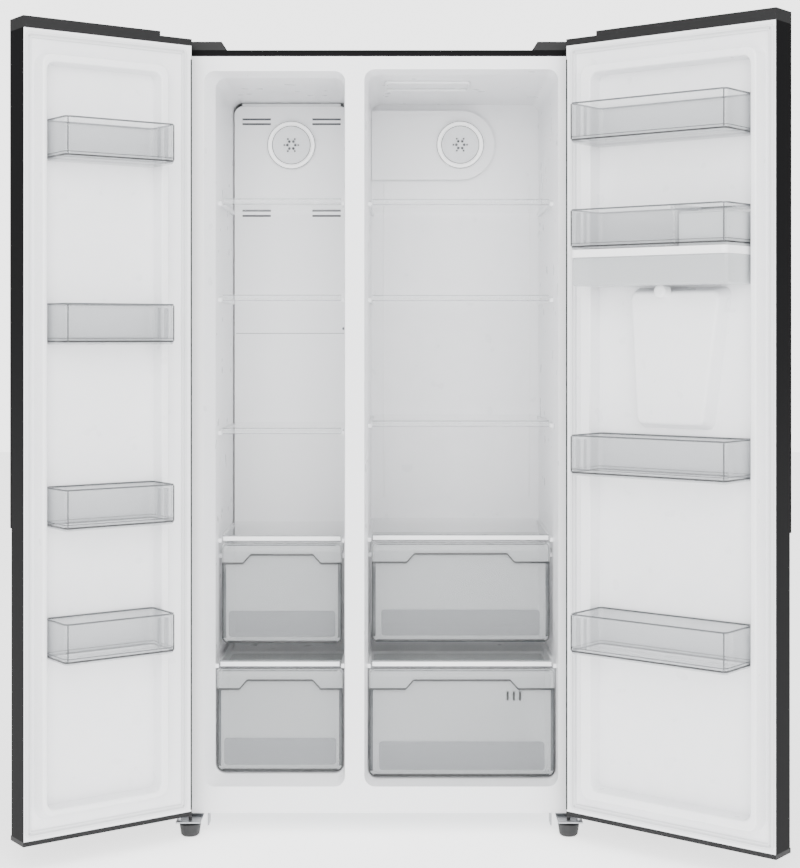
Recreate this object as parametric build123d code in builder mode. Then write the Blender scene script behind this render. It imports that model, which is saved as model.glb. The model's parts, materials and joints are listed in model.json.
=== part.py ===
from build123d import *
import os

# Side by side refrigerator: freezer on the left, fridge on the right, both doors standing open.
#
# Frame: millimetres, +Z up, the floor at z = 0, the origin under the middle of the cabinet.
# The front of the cabinet faces -Y. Doors are drawn closed and then swung about their hinge pins.

# ---------------------------------------------------------------- driving dimensions
WIDTH = 908.0            # cabinet, side to side
BODY_DEPTH = 588.0       # cabinet without its doors
BASE_Z = 40.0            # underside of the cabinet
TOP_Z = 1756.0           # top of the cabinet
DOOR_TOP_Z = 1780.0      # highest point of the doors

SHEET = 1.0              # steel skin
PAN_SHEET = 2.0          # base pan
LINER = 2.0              # moulded inner liner
FLANGE = 3.0             # white frame round the two openings
LIP_HEIGHT = 14.0        # black lip at the front of the top panel

HALF = WIDTH / 2
Y_FRONT = -BODY_DEPTH / 2
Y_BACK = BODY_DEPTH / 2
LEFT, RIGHT = -1, 1

MULLION_X = -55.5        # middle of the upright between the compartments
FREEZER_OPEN = (-395.0, -77.5, 99.5, 1709.0)   # x low, x high, z low, z high at the front
FRIDGE_OPEN = (-34.5, 402.0, 99.5, 1713.0)
FREEZER_WALL = (-374.0, -81.0, 117.0, 1700.0)  # the same, behind the flared mouth
FRIDGE_WALL = (-28.0, 401.5, 105.0, 1706.0)
MOUTH_DEPTH = 44.0       # how far back the mouth narrows
CORNER = 24.0            # upright corners of both compartments
FREEZER_DEPTH = 505.0
FRIDGE_DEPTH = 541.0
STEP_DEPTH = 352.0       # below STEP_Z the compartments stop here, in front of the machine space
STEP_Z = 330.0
MACHINE_DEPTH = 398.0    # front of the machine space
MACHINE_Z = 282.0        # its ceiling

DOOR_GAP = 6.0           # cabinet front to the door's inner face, filled by the gasket
DOOR_THICK = 65.0        # inner face to outer face
DOOR_SPLIT = 3.0         # between the two doors
HINGE_IN = 10.5          # pin axis to the door's hinge edge
HINGE_FRONT = 34.0       # pin axis to the door's inner face
LEFT_OPEN_DEG = 144.0    # how far each door stands open in the model
RIGHT_OPEN_DEG = 141.0
DOOR_LOW_Z = 61.0        # white inner face
DOOR_HIGH_Z = 1755.0
DOOR_CAP_Z = 51.0        # underside of the bottom cap

BIN_HEIGHT = 86.0
FREEZER_BIN_Z = (437.0, 712.0, 1095.0, 1479.0)
FRIDGE_BIN_Z = (437.0, 817.0, 1296.0, 1523.0)
BIN_WALL = 2.2

SHELF_GLASS = 4.0
TRIM_DEPTH = 11.0
FREEZER_SHELF_Z = (366.0, 644.0, 893.0, 1201.0, 1424.0)   # underside of each pane
FRIDGE_SHELF_Z = (366.0, 644.0, 909.0, 1201.0, 1424.0)

RUNNER_Z = 606.0         # the upper drawers hang on ledges at this height
FREEZER_UPPER_FRONT = 112.0   # how far the drawer fronts stand behind the cabinet front
FRIDGE_UPPER_FRONT = 130.0
LOWER_FRONT = 52.0
UPPER_DRAWER_Z = (402.0, 633.0)
LOWER_DRAWER_Z = {"freezer": (121.0, 355.0), "fridge": (109.0, 355.0)}
DRAWER_WALL = 2.4
TUB_INSET = 6.0           # a standing tub is narrower and higher than its front by this much

RIDGE_U = {                   # the raised ridge of each door liner: outer foot, inner foot
    LEFT: ((61.5, 373.0), (95.0, 354.0)),
    RIGHT: ((54.5, 485.0), (87.0, 463.0)),
}
RIDGE_Z = ((103.5, 1705.0), (131.0, 1680.0))
RIDGE_HEIGHT = 34.0
RIDGE_LEAN = {                # how far its outer wall leans in: hinge side, free side, foot, top
    LEFT: (14.0, 5.0, 14.0, 4.0),
    RIGHT: (3.0, 5.0, 4.0, 4.0),
}
RIDGE_ROUND = 4.0
BIN_U = {LEFT: (97.0, 350.0), RIGHT: (89.0, 460.0)}
BIN_OUT = {LEFT: 104.0, RIGHT: 122.0}   # bin front above the door's inner face
HINGE_NOTCH = 78.0            # the door's top is lower this far from its hinge edge
NOTCH_Z = 1770.0
GRIP_LOW_Z = 708.0            # the grip bulge runs from here to the top
GRIP_OUT = 5.5

TANK_Z = (1219.0, 1279.0)
TANK_COVER_Z = (1279.3, 1295.5)
FILLER_U = (350.0, 458.0)
FILLER_TOP = 1362.0
LID_PIVOT = (6.0, 1365.0)     # height above the inner face, world z
HOUSING_FOOT = ((172.0, 1216.0), (410.0, 1216.0), (368.0, 917.0), (188.0, 917.0))
HOUSING_CREST = ((184.0, 1206.0), (396.0, 1206.0), (355.0, 928.0), (200.0, 928.0))
HOUSING_HEIGHT = 32.0
RECESS_U = (195.0, 345.0)     # dispenser recess in the outer face
RECESS_Z = (930.0, 1180.0)
RECESS_DEPTH = 54.0
RECESS_WALL = 2.5
LEVER_PIVOT = (-32.0, 1160.0)

PIN_R = 4.0
PIN_TOP = 60.0                # the lower pins end inside the bottom caps
PIN_CLEAR = 0.05
FOOT_PLACE = (422.0, Y_FRONT - 30.0)
BRACKET_Z = (31.0, 34.0)
ROLLER_R = 18.0
ROLLER_PLACE = (380.0, 252.0)
AXLE_R = 3.0

DOOR_Y = Y_FRONT - DOOR_GAP                 # inner face of a closed door
HINGE_Y = DOOR_Y - HINGE_FRONT
DOOR_WIDTH = {
    LEFT: HALF + MULLION_X - DOOR_SPLIT / 2,
    RIGHT: HALF - MULLION_X - DOOR_SPLIT / 2,
}
OPEN_DEG = {LEFT: -LEFT_OPEN_DEG, RIGHT: RIGHT_OPEN_DEG}
NAME = {LEFT: "left", RIGHT: "right"}


def block(x, y, z, mode=Mode.ADD):
    """A box between two limits on each axis."""
    with Locations((sum(x) / 2, sum(y) / 2, sum(z) / 2)):
        return Box(abs(x[1] - x[0]), abs(y[1] - y[0]), abs(z[1] - z[0]), mode=mode)


def rounded_block(x, y, z, corner, foot):
    """A block with rounded uprights and a rounded underside."""
    with BuildPart() as shape:
        block(x, y, z)
        fillet(shape.edges().filter_by(Axis.Z), corner)
        fillet(shape.faces().sort_by(Axis.Z)[0].edges(), foot)
    return shape.part


def open_box(x, y, z, wall, corner, foot):
    """An open-topped box with the same wall all over."""
    outside = rounded_block(x, y, z, corner, foot)
    inside = rounded_block((x[0] + wall, x[1] - wall), (y[0] + wall, y[1] - wall),
                           (z[0] + wall, z[1] + 1), corner - wall, foot - wall)
    with BuildPart() as shape:
        add(outside)
        add(inside, mode=Mode.SUBTRACT)
    return shape.part


def xz_plane(y):
    """A sketch plane facing the front, with sketch X along +X and sketch Y along +Z."""
    return Plane(origin=(0, y, 0), x_dir=(1, 0, 0), z_dir=(0, -1, 0))


def yz_plane(x):
    """A sketch plane facing the right side, with sketch X along +Y and sketch Y along +Z."""
    return Plane(origin=(x, 0, 0), x_dir=(0, 1, 0), z_dir=(1, 0, 0))


def rounded(x, z, radius, mode=Mode.ADD):
    """A rounded rectangle between limits, in a sketch."""
    with Locations((sum(x) / 2, sum(z) / 2)):
        RectangleRounded(abs(x[1] - x[0]), abs(z[1] - z[0]), radius, mode=mode)


def door_x(side, u):
    """World x of a point u from the hinge edge of a closed door."""
    return side * (HALF - u)


def door_span(side, u0, u1):
    return tuple(sorted((door_x(side, u0), door_x(side, u1))))


def hinge_axis(side):
    return Axis((side * (HALF - HINGE_IN), HINGE_Y, 0), (0, 0, 1))


def save(part, name):
    part.label = name
    export_step(part, f"parts/{name}.step")


def save_on_door(part, side, name):
    """Swing a part drawn on a closed door to where the door stands open."""
    save(part.rotate(hinge_axis(side), OPEN_DEG[side]), name)


# ---------------------------------------------------------------- cabinet carcass
def compartment(opening, wall, depth, grow):
    """The hollow of one compartment, grown on every side by grow."""
    ox, oz = (opening[0] - grow, opening[1] + grow), (opening[2] - grow, opening[3] + grow)
    wx, wz = (wall[0] - grow, wall[1] + grow), (wall[2] - grow, wall[3] + grow)
    mouth_y = Y_FRONT + MOUTH_DEPTH
    with BuildPart() as hollow:
        with BuildSketch(xz_plane(Y_FRONT)):
            rounded(ox, oz, CORNER + grow)
        with BuildSketch(xz_plane(mouth_y)):
            rounded(wx, wz, CORNER + grow)
        loft()
        with BuildSketch(xz_plane(mouth_y)):
            rounded(wx, wz, CORNER + grow)
        extrude(amount=-(depth - MOUTH_DEPTH + grow))
        with BuildSketch(yz_plane(wx[0] - 1)):
            with BuildLine():
                step_y = Y_FRONT + STEP_DEPTH + grow
                Polyline(
                    (step_y, wz[0] - 1),
                    (step_y, STEP_Z - 40 - grow / 2),
                    (step_y + 45, STEP_Z - grow),
                    (Y_FRONT + depth + grow + 1, STEP_Z - grow),
                    (Y_FRONT + depth + grow + 1, wz[0] - 1),
                    close=True,
                )
            make_face()
        extrude(amount=wx[1] - wx[0] + 2, mode=Mode.SUBTRACT)
    return hollow.part


def liner(name, opening, wall, depth, ledges):
    """A moulded liner with ledges down both side walls that carry the shelves."""
    outside = compartment(opening, wall, depth, LINER)
    hollow = compartment(opening, wall, depth, 0)
    with BuildPart() as skin:
        add(outside)
        add(hollow, mode=Mode.SUBTRACT)
        for z, front, back in ledges:
            for x in ((wall[0] - 0.5, wall[0] + 7), (wall[1] - 7, wall[1] + 0.5)):
                block(x, (Y_FRONT + front, Y_FRONT + back), (z - 9, z))
    save(skin.part, name)


FREEZER_SHELF_FRONT = (47.0, 109.0, 109.0, 109.0, 109.0)
FRIDGE_SHELF_FRONT = (47.0, 127.0, 127.0, 127.0, 127.0)
FREEZER_SHELF_BACK = (436.0, 436.0, 432.0, 432.0, 432.0)
FRIDGE_SHELF_BACK = (520.0, 520.0, 500.0, 500.0, 500.0)


def cabinet():
    with BuildPart() as shell:
        block((-HALF, HALF), (Y_FRONT, Y_BACK), (BASE_Z, TOP_Z))
        block((-HALF + SHEET, HALF - SHEET), (Y_FRONT - 1, Y_BACK + 1), (BASE_Z - 1, TOP_Z - SHEET),
              mode=Mode.SUBTRACT)
        block((-HALF + SHEET, HALF - SHEET), (Y_FRONT, Y_FRONT + FLANGE),
              (TOP_Z - LIP_HEIGHT, TOP_Z - SHEET))
        top_edges = shell.edges().filter_by(Axis.Y).group_by(Axis.Z)[-1]
        fillet(top_edges, 3)
    save(shell.part, "cabinet_shell")

    with BuildPart() as rear:
        block((-HALF + SHEET, HALF - SHEET), (Y_BACK - SHEET, Y_BACK), (MACHINE_Z, TOP_Z - SHEET))
        for x in (-300, -100, 100, 300):
            block((x - 4, x + 4), (Y_BACK - SHEET, Y_BACK), (MACHINE_Z + 40, TOP_Z - 60))
    save(rear.part, "rear_panel")

    with BuildPart() as pan:
        block((-HALF + SHEET, HALF - SHEET), (Y_FRONT + FLANGE, Y_BACK), (BASE_Z, BASE_Z + PAN_SHEET))
        block((-HALF + SHEET, HALF - SHEET), (Y_FRONT + MACHINE_DEPTH - PAN_SHEET, Y_FRONT + MACHINE_DEPTH),
              (BASE_Z, MACHINE_Z))
        roller_x, roller_y = ROLLER_PLACE
        for side in (LEFT, RIGHT):
            for reach in (-14, 14):
                middle = side * roller_x + reach
                block((middle - 1.5, middle + 1.5), (roller_y - 12, roller_y + 12), (10, BASE_Z + 1))
        with Locations(Plane(origin=(0, roller_y, ROLLER_R), z_dir=(1, 0, 0))):
            Cylinder(AXLE_R + 0.06, WIDTH, mode=Mode.SUBTRACT)
    save(pan.part, "base_pan")

    with BuildPart() as frame:
        with BuildSketch(xz_plane(Y_FRONT + FLANGE)):
            with Locations((0, (BASE_Z + TOP_Z - LIP_HEIGHT) / 2)):
                Rectangle(WIDTH - 2 * SHEET, TOP_Z - LIP_HEIGHT - BASE_Z)
            for o in (FREEZER_OPEN, FRIDGE_OPEN):
                with Locations(((o[0] + o[1]) / 2, (o[2] + o[3]) / 2)):
                    RectangleRounded(o[1] - o[0] + 2 * LINER, o[3] - o[2] + 2 * LINER, CORNER + LINER,
                                     mode=Mode.SUBTRACT)
        extrude(amount=FLANGE)
    save(frame.part, "front_frame")

    hollows = (
        compartment(FREEZER_OPEN, FREEZER_WALL, FREEZER_DEPTH, LINER),
        compartment(FRIDGE_OPEN, FRIDGE_WALL, FRIDGE_DEPTH, LINER),
    )
    with BuildPart() as foam:
        block((-HALF + SHEET, HALF - SHEET), (Y_FRONT + FLANGE, Y_BACK - SHEET),
              (BASE_Z + PAN_SHEET, TOP_Z - SHEET))
        for hollow in hollows:
            add(hollow, mode=Mode.SUBTRACT)
        block((-HALF, HALF), (Y_FRONT + MACHINE_DEPTH - PAN_SHEET, Y_BACK + 1), (BASE_Z, MACHINE_Z),
              mode=Mode.SUBTRACT)
    save(foam.part, "cabinet_foam")

    liner("freezer_liner", FREEZER_OPEN, FREEZER_WALL, FREEZER_DEPTH,
          [*zip(FREEZER_SHELF_Z, FREEZER_SHELF_FRONT, FREEZER_SHELF_BACK),
           (RUNNER_Z, FREEZER_UPPER_FRONT + 20, FREEZER_SHELF_BACK[1])])
    liner("fridge_liner", FRIDGE_OPEN, FRIDGE_WALL, FRIDGE_DEPTH,
          [*zip(FRIDGE_SHELF_Z, FRIDGE_SHELF_FRONT, FRIDGE_SHELF_BACK),
           (RUNNER_Z, FRIDGE_UPPER_FRONT + 20, FRIDGE_SHELF_BACK[1])])


def shelves():
    """Glass panes resting on the ledges, each with a moulded rail clipped to its front edge."""
    compartments = (
        (FREEZER_WALL, FREEZER_SHELF_Z, FREEZER_SHELF_FRONT, FREEZER_SHELF_BACK),
        (FRIDGE_WALL, FRIDGE_SHELF_Z, FRIDGE_SHELF_FRONT, FRIDGE_SHELF_BACK),
    )
    places = [(wall, *place) for wall, *lists in compartments for place in zip(*lists)]
    with BuildPart() as glass:
        for wall, z, front, back in places:
            block((wall[0] + 1, wall[1] - 1), (Y_FRONT + front + 3, Y_FRONT + back),
                  (z, z + SHELF_GLASS))
    save(glass.part, "shelf_glass")
    with BuildPart() as rails:
        for wall, z, front, back in places:
            y = Y_FRONT + front
            with BuildSketch(yz_plane(wall[0] + 9)):
                with BuildLine():
                    low, high = z - 7, z + SHELF_GLASS + 3
                    Polyline(
                        (y, low + 2), (y, high - 2), (y + 2, high), (y + TRIM_DEPTH, high),
                        (y + TRIM_DEPTH, z + SHELF_GLASS), (y + 3, z + SHELF_GLASS), (y + 3, z),
                        (y + TRIM_DEPTH, z), (y + TRIM_DEPTH, z - 2), (y + 5, z - 2), (y + 2, low),
                        close=True,
                    )
                make_face()
            extrude(amount=wall[1] - wall[0] - 18)
    save(rails.part, "shelf_rails")


# ---------------------------------------------------------------- compartments' fittings
DUCT_CENTRE = (199.0, 1600.0)
FREEZER_LAMP = (-227.5, 1592.0)
COVER_DEPTH = 458.0
SLOT_REACH = 88.0        # air slots stand this far each side of the freezer lamp


def air_covers():
    """The slotted panel before the evaporator, the fridge's air duct, and the round lamp covers."""
    y = Y_FRONT + COVER_DEPTH
    x = (FREEZER_WALL[0] + 3, FREEZER_WALL[1] - 3)
    centre = FREEZER_LAMP[0]
    with BuildPart() as cover:
        with BuildSketch(xz_plane(y + 2)):
            rounded(x, (380, 1690), 20)
        extrude(amount=2)
        for low in (x[0], x[1] - 2):
            block((low, low + 2), (y, Y_FRONT + FREEZER_DEPTH - 1), (1180, 1650))
        for z in (1415, 1428, 1646, 1658):
            for reach in (-SLOT_REACH, SLOT_REACH):
                block((centre + reach - 36, centre + reach + 36), (y - 1, y + 3), (z - 2.5, z + 2.5),
                      mode=Mode.SUBTRACT)
        with Locations(Plane(origin=(centre, y + 1, FREEZER_LAMP[1]), z_dir=(0, -1, 0))):
            Cylinder(44, 4, mode=Mode.SUBTRACT)
    save(cover.part, "freezer_air_cover")

    back = Y_FRONT + FRIDGE_DEPTH
    with BuildPart() as duct:
        for depth, radius, mode in ((20.0, 88.0, Mode.ADD), (18.0, 86.0, Mode.SUBTRACT)):
            with BuildSketch(xz_plane(back)):
                with Locations(DUCT_CENTRE):
                    Circle(radius)
                left = FRIDGE_WALL[0] + 1
                with Locations(((left + DUCT_CENTRE[0]) / 2, DUCT_CENTRE[1])):
                    Rectangle(DUCT_CENTRE[0] - left, 2 * radius)
            extrude(amount=depth, mode=mode)
        with Locations(Plane(origin=(DUCT_CENTRE[0], back - 19, DUCT_CENTRE[1]), z_dir=(0, -1, 0))):
            Cylinder(44, 6, mode=Mode.SUBTRACT)
    save(duct.part, "fridge_air_duct")

    with BuildPart() as lamps:
        for (lamp_x, lamp_z), face in ((FREEZER_LAMP, y), (DUCT_CENTRE, back - 20)):
            with BuildSketch(xz_plane(face)):
                with Locations((lamp_x, lamp_z)):
                    Circle(60)
                    Circle(47, mode=Mode.SUBTRACT)
            extrude(amount=9)
            with BuildSketch(xz_plane(face - 3)):
                with Locations((lamp_x, lamp_z)):
                    Circle(50)
            extrude(amount=2)
            with BuildSketch(xz_plane(face - 3)):
                with Locations((lamp_x, lamp_z)):
                    with PolarLocations(10, 6):
                        Circle(3)
            extrude(amount=3, both=True, mode=Mode.SUBTRACT)
    save(lamps.part, "lamp_covers")


FAN_Y = Y_FRONT + 474.0
FAN_SHAFT_R = 2.5
CONDENSER_FAN_X = 60.0
CONDENSER_PLACE = (200.0, 155.0)       # y, z of the condenser fan's axis


def fan_wheel(plane, radius, depth, blades):
    """A hub with pitched blades, on the plane's axis."""
    hub = 15.0
    with BuildPart(plane) as fan:
        Cylinder(hub, depth)
        with PolarLocations((hub + radius) / 2 - 1, blades):
            Box(radius - hub + 4, 2, depth, rotation=(38, 0, 0))
        Cylinder(FAN_SHAFT_R + PIN_CLEAR, depth * 3, mode=Mode.SUBTRACT)
    return fan.part


def cooling():
    """The evaporator behind its cover, and the refrigeration unit in the machine space."""
    with BuildPart() as evaporator:
        y = (Y_FRONT + 468, Y_FRONT + 498)
        for i in range(14):
            x = -350 + 19 * i
            block((x, x + 1.2), y, (700, 900))
        for z in (720, 760, 800, 840, 880):
            for depth in (476, 490):
                with Locations(Plane(origin=(-227, Y_FRONT + depth, z), z_dir=(1, 0, 0))):
                    Cylinder(4, 262)
        with Locations(Plane(origin=(-227, Y_FRONT + 483, 680), z_dir=(1, 0, 0))):
            Cylinder(4, 250)
    save(evaporator.part, "evaporator")

    evaporator_plane = Plane(origin=(FREEZER_LAMP[0], FAN_Y, FREEZER_LAMP[1]), z_dir=(0, 1, 0))
    save(fan_wheel(evaporator_plane, 42, 12, 7), "evaporator_fan")
    fan_y, fan_z = CONDENSER_PLACE
    condenser_plane = Plane(origin=(CONDENSER_FAN_X, fan_y, fan_z), z_dir=(1, 0, 0))
    save(fan_wheel(condenser_plane, 62, 20, 5), "condenser_fan")
    with BuildPart() as motors:
        with Locations(evaporator_plane.offset(18.5)):
            Cylinder(20, 22)
        with Locations(evaporator_plane.offset(2)):
            Cylinder(FAN_SHAFT_R, 12)
        with Locations(condenser_plane.offset(-28)):
            Cylinder(24, 30)
        with Locations(condenser_plane.offset(-4)):
            Cylinder(FAN_SHAFT_R, 24)
        block((CONDENSER_FAN_X - 40, CONDENSER_FAN_X - 24), (fan_y - 8, fan_y + 8), (42, fan_z - 20))
    save(motors.part, "fan_motors")

    with BuildPart() as compressor:
        with BuildSketch(Plane.XY.offset(62)):
            with Locations((-190, 205)):
                Ellipse(92, 74)
        extrude(amount=148)
        fillet(compressor.edges().group_by(Axis.Z)[-1], 34)
        fillet(compressor.edges().group_by(Axis.Z)[0], 18)
        block((-300, -80), (150, 260), (54, 58))
        with Locations((-190, 205, 60)):
            Cylinder(40, 8)
        with Locations((-190, 205, 48)):
            with GridLocations(190, 84, 2, 2):
                Cylinder(12, 12)
        block((-110, -86), (190, 225), (110, 160))
    save(compressor.part, "compressor")

    with BuildPart() as condenser:
        for i in range(9):
            x = 110 + 15 * i
            block((x, x + 1.2), (130, 270), (86, 246))
        for y in (155, 200, 245):
            for z in (110, 166, 222):
                with Locations(Plane(origin=(170, y, z), z_dir=(1, 0, 0))):
                    Cylinder(5, 150)
    save(condenser.part, "condenser")

    save(open_box((95, 262), (124, 276), (42, 76), 2.5, 8, 4), "drain_pan")

    with BuildPart() as box:
        block((310, 430), (190, 275), (42, 210))
        fillet(box.edges().filter_by(Axis.Z), 6)
    save(box.part, "control_box")

    with BuildPart() as cover:
        block((-450, 450), (Y_BACK - 1.5, Y_BACK), (48, MACHINE_Z - 1))
        with Locations(Plane(origin=(0, Y_BACK, 150), x_dir=(1, 0, 0), z_dir=(0, -1, 0))):
            with GridLocations(80, 22, 8, 7):
                Box(60, 8, 6, mode=Mode.SUBTRACT)
        block((-426, -384), (Y_BACK - 3, Y_BACK + 1), (214, 246), mode=Mode.SUBTRACT)
    save(cover.part, "machine_cover")

    with BuildPart() as inlet:
        block((-425, -385), (Y_BACK - 26, Y_BACK - 0.5), (215, 245))
        block((-418, -392), (Y_BACK - 20, Y_BACK), (221, 239), mode=Mode.SUBTRACT)
        for x in (-412, -405, -398):
            block((x - 1, x + 1), (Y_BACK - 21, Y_BACK - 5), (228, 233))
    save(inlet.part, "power_inlet")


# ---------------------------------------------------------------- drawers
def drawer(name, wall, z, front, back, hangs):
    """A clear tub with a stepped front, hung on ledges or standing on the floor."""
    gap = 8.0 if hangs else 3.0
    x = (wall[0] + gap, wall[1] - gap)
    y = Y_FRONT + front
    rim = z[1] - 20
    inset = 0.0 if hangs else TUB_INSET
    basin = open_box((x[0] + 1 + inset, x[1] - 1 - inset), (y + 5, Y_FRONT + back), (z[0] + inset, rim),
                     DRAWER_WALL, 8, 8)
    with BuildPart() as tub:
        add(basin)
        if hangs:
            for side, edge in ((wall[0] + 1, x[0] + 2), (x[1] - 2, wall[1] - 1)):
                block((side, edge), (y + 24, Y_FRONT + back - 10), (RUNNER_Z + 0.3, rim))
    save(tub.part, f"{name}_tub")

    middle = (x[0] + x[1]) / 2
    reach = 0.26 * (x[1] - x[0])
    with BuildPart() as face:
        with BuildSketch(xz_plane(y + 5)):
            rounded(x, (z[0], z[1]), 14)
        extrude(amount=3)
        band, step = z[1] - 46, z[1] - 26
        with BuildSketch(xz_plane(y + 3)):
            with BuildLine():
                Polyline(
                    (x[0], z[1]), (x[0], band), (middle - reach - 18, band), (middle - reach, step),
                    (middle + reach, step), (middle + reach + 18, band), (x[1], band), (x[1], z[1]),
                    close=True,
                )
            make_face()
        extrude(amount=9)
        fillet(face.edges().filter_by(Axis.Y).group_by(Axis.Z)[-1], 6)
        if name == "fridge_lower_drawer":
            for x0 in (-14, 0, 14):
                block((middle + 116 + x0, middle + 121 + x0), (y, y + 8), (z[1] - 74, z[1] - 52),
                      mode=Mode.SUBTRACT)
    save(face.part, f"{name}_front")


def drawers():
    for side, wall, upper_front, shelf_back in (
        ("freezer", FREEZER_WALL, FREEZER_UPPER_FRONT, FREEZER_SHELF_BACK),
        ("fridge", FRIDGE_WALL, FRIDGE_UPPER_FRONT, FRIDGE_SHELF_BACK),
    ):
        drawer(f"{side}_upper_drawer", wall, UPPER_DRAWER_Z, upper_front, shelf_back[1] - 12, True)
        drawer(f"{side}_lower_drawer", wall, LOWER_DRAWER_Z[side], LOWER_FRONT, STEP_DEPTH - 12, False)


# ---------------------------------------------------------------- doors
def ridge(side, inset):
    """The raised ring round a door's inner panel, shrunk by inset for what lies under the sheet."""
    (outer_low, outer_high), (inner_low, inner_high) = RIDGE_U[side]
    (outer_z0, outer_z1), (inner_z0, inner_z1) = RIDGE_Z
    hinge_lean, free_lean, foot_lean, top_lean = RIDGE_LEAN[side]
    crest = DOOR_Y + RIDGE_HEIGHT - inset
    with BuildPart() as ring:
        with BuildSketch(xz_plane(DOOR_Y - LINER)):
            rounded(door_span(side, outer_low + inset, outer_high - inset),
                    (outer_z0 + inset, outer_z1 - inset), 26 - inset)
        with BuildSketch(xz_plane(crest)):
            rounded(door_span(side, outer_low + hinge_lean + inset, outer_high - free_lean - inset),
                    (outer_z0 + foot_lean + inset, outer_z1 - top_lean - inset), 22 - inset)
        loft()
        with BuildSketch(xz_plane(DOOR_Y - LINER - 1)):
            rounded(door_span(side, inner_low - inset, inner_high + inset),
                    (inner_z0 - inset, inner_z1 + inset), 14 + inset)
        with BuildSketch(xz_plane(crest + 1)):
            rounded(door_span(side, inner_low - 3 - inset, inner_high + 4 + inset),
                    (inner_z0 - 3 - inset, inner_z1 + 4 + inset), 18 + inset)
        loft(mode=Mode.SUBTRACT)
        fillet(ring.edges().group_by(Axis.Y)[-1], RIDGE_ROUND - inset / 2)
    return ring.part


def housing(side, inset):
    """The tapered bulge that stands behind the dispenser recess."""
    with BuildPart() as bulge:
        for outline, y in ((HOUSING_FOOT, DOOR_Y - LINER), (HOUSING_CREST, DOOR_Y + HOUSING_HEIGHT - inset)):
            with BuildSketch(xz_plane(y)) as profile:
                with BuildLine():
                    Polyline(*[(door_x(side, u), z) for u, z in outline], close=True)
                make_face()
                fillet(profile.vertices(), 16)
                if inset:
                    offset(amount=-inset)
        loft()
        fillet(bulge.edges().group_by(Axis.Y)[-1], 8 - inset)
    return bulge.part


def door(side):
    name = NAME[side]
    width = DOOR_WIDTH[side]
    outer = DOOR_Y - DOOR_THICK
    span = door_span(side, 0, width)
    inner_span = door_span(side, SHEET, width - SHEET)
    recess_span = door_span(side, *RECESS_U)
    with_dispenser = side == RIGHT
    mouldings = [(ridge(side, 0), ridge(side, LINER))]
    if with_dispenser:
        mouldings.append((housing(side, 0), housing(side, LINER)))

    with BuildPart() as skin:
        for inset, mode in ((0, Mode.ADD), (SHEET, Mode.SUBTRACT)):
            with BuildSketch(Plane.XY.offset(DOOR_LOW_Z)) as section:
                with Locations((sum(span) / 2, (outer + DOOR_Y + 20) / 2 + inset)):
                    Rectangle(width - 2 * inset, DOOR_THICK + 20)
                fillet(section.vertices().group_by(Axis.Y)[0], 5 - inset)
            extrude(amount=DOOR_HIGH_Z - DOOR_LOW_Z, mode=mode)
        block(span, (DOOR_Y, DOOR_Y + 30), (DOOR_LOW_Z, DOOR_HIGH_Z), mode=Mode.SUBTRACT)
        if with_dispenser:
            block(recess_span, (outer - 1, outer + 2), RECESS_Z, mode=Mode.SUBTRACT)
    save_on_door(skin.part, side, f"{name}_door_skin")

    with BuildPart() as panel:
        block(inner_span, (DOOR_Y - LINER, DOOR_Y), (DOOR_LOW_Z, DOOR_HIGH_Z))
        for face, inner in mouldings:
            add(face)
            add(inner, mode=Mode.SUBTRACT)
    save_on_door(panel.part, side, f"{name}_door_liner")

    with BuildPart() as foam:
        block(inner_span, (outer + SHEET, DOOR_Y - LINER), (DOOR_LOW_Z, DOOR_HIGH_Z))
        fillet(foam.edges().filter_by(Axis.Z).group_by(Axis.Y)[0], 4.5)
        for _, inner in mouldings:
            add(inner)
        if with_dispenser:
            block(recess_span, (outer, outer + RECESS_DEPTH), RECESS_Z, mode=Mode.SUBTRACT)
    save_on_door(foam.part, side, f"{name}_door_foam")

    with BuildPart() as gasket:
        with BuildSketch(xz_plane(DOOR_Y)):
            rounded(door_span(side, 14, width - 4), (DOOR_LOW_Z + 8, DOOR_HIGH_Z - 8), 10)
            rounded(door_span(side, RIDGE_U[side][0][0] - 20, width - 17),
                    (DOOR_LOW_Z + 28, DOOR_HIGH_Z - 28), 6, mode=Mode.SUBTRACT)
        extrude(amount=-(DOOR_GAP - 0.3))
    save_on_door(gasket.part, side, f"{name}_door_gasket")

    pin = (side * (HALF - HINGE_IN), HINGE_Y)
    with BuildPart() as trims:
        block(span, (outer, DOOR_Y), (DOOR_CAP_Z, DOOR_LOW_Z))
        block(span, (outer, DOOR_Y), (DOOR_HIGH_Z, NOTCH_Z))
        block(door_span(side, HINGE_NOTCH, width), (outer, DOOR_Y), (NOTCH_Z, DOOR_TOP_Z))
        with Locations((*pin, DOOR_CAP_Z), (*pin, NOTCH_Z)):
            Cylinder(PIN_R + PIN_CLEAR, 27, mode=Mode.SUBTRACT, align=(Align.CENTER,) * 3)
        with BuildSketch(Plane.XY.offset(GRIP_LOW_Z)):
            with BuildLine():
                free = door_x(side, width)
                Polyline(
                    (free, outer), (free, outer - 3), (free + side * 3, outer - GRIP_OUT),
                    (free + side * 26, outer - GRIP_OUT), (free + side * 40, outer), close=True,
                )
            make_face()
        extrude(amount=DOOR_TOP_Z - GRIP_LOW_Z)
    save_on_door(trims.part, side, f"{name}_door_trims")


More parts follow.
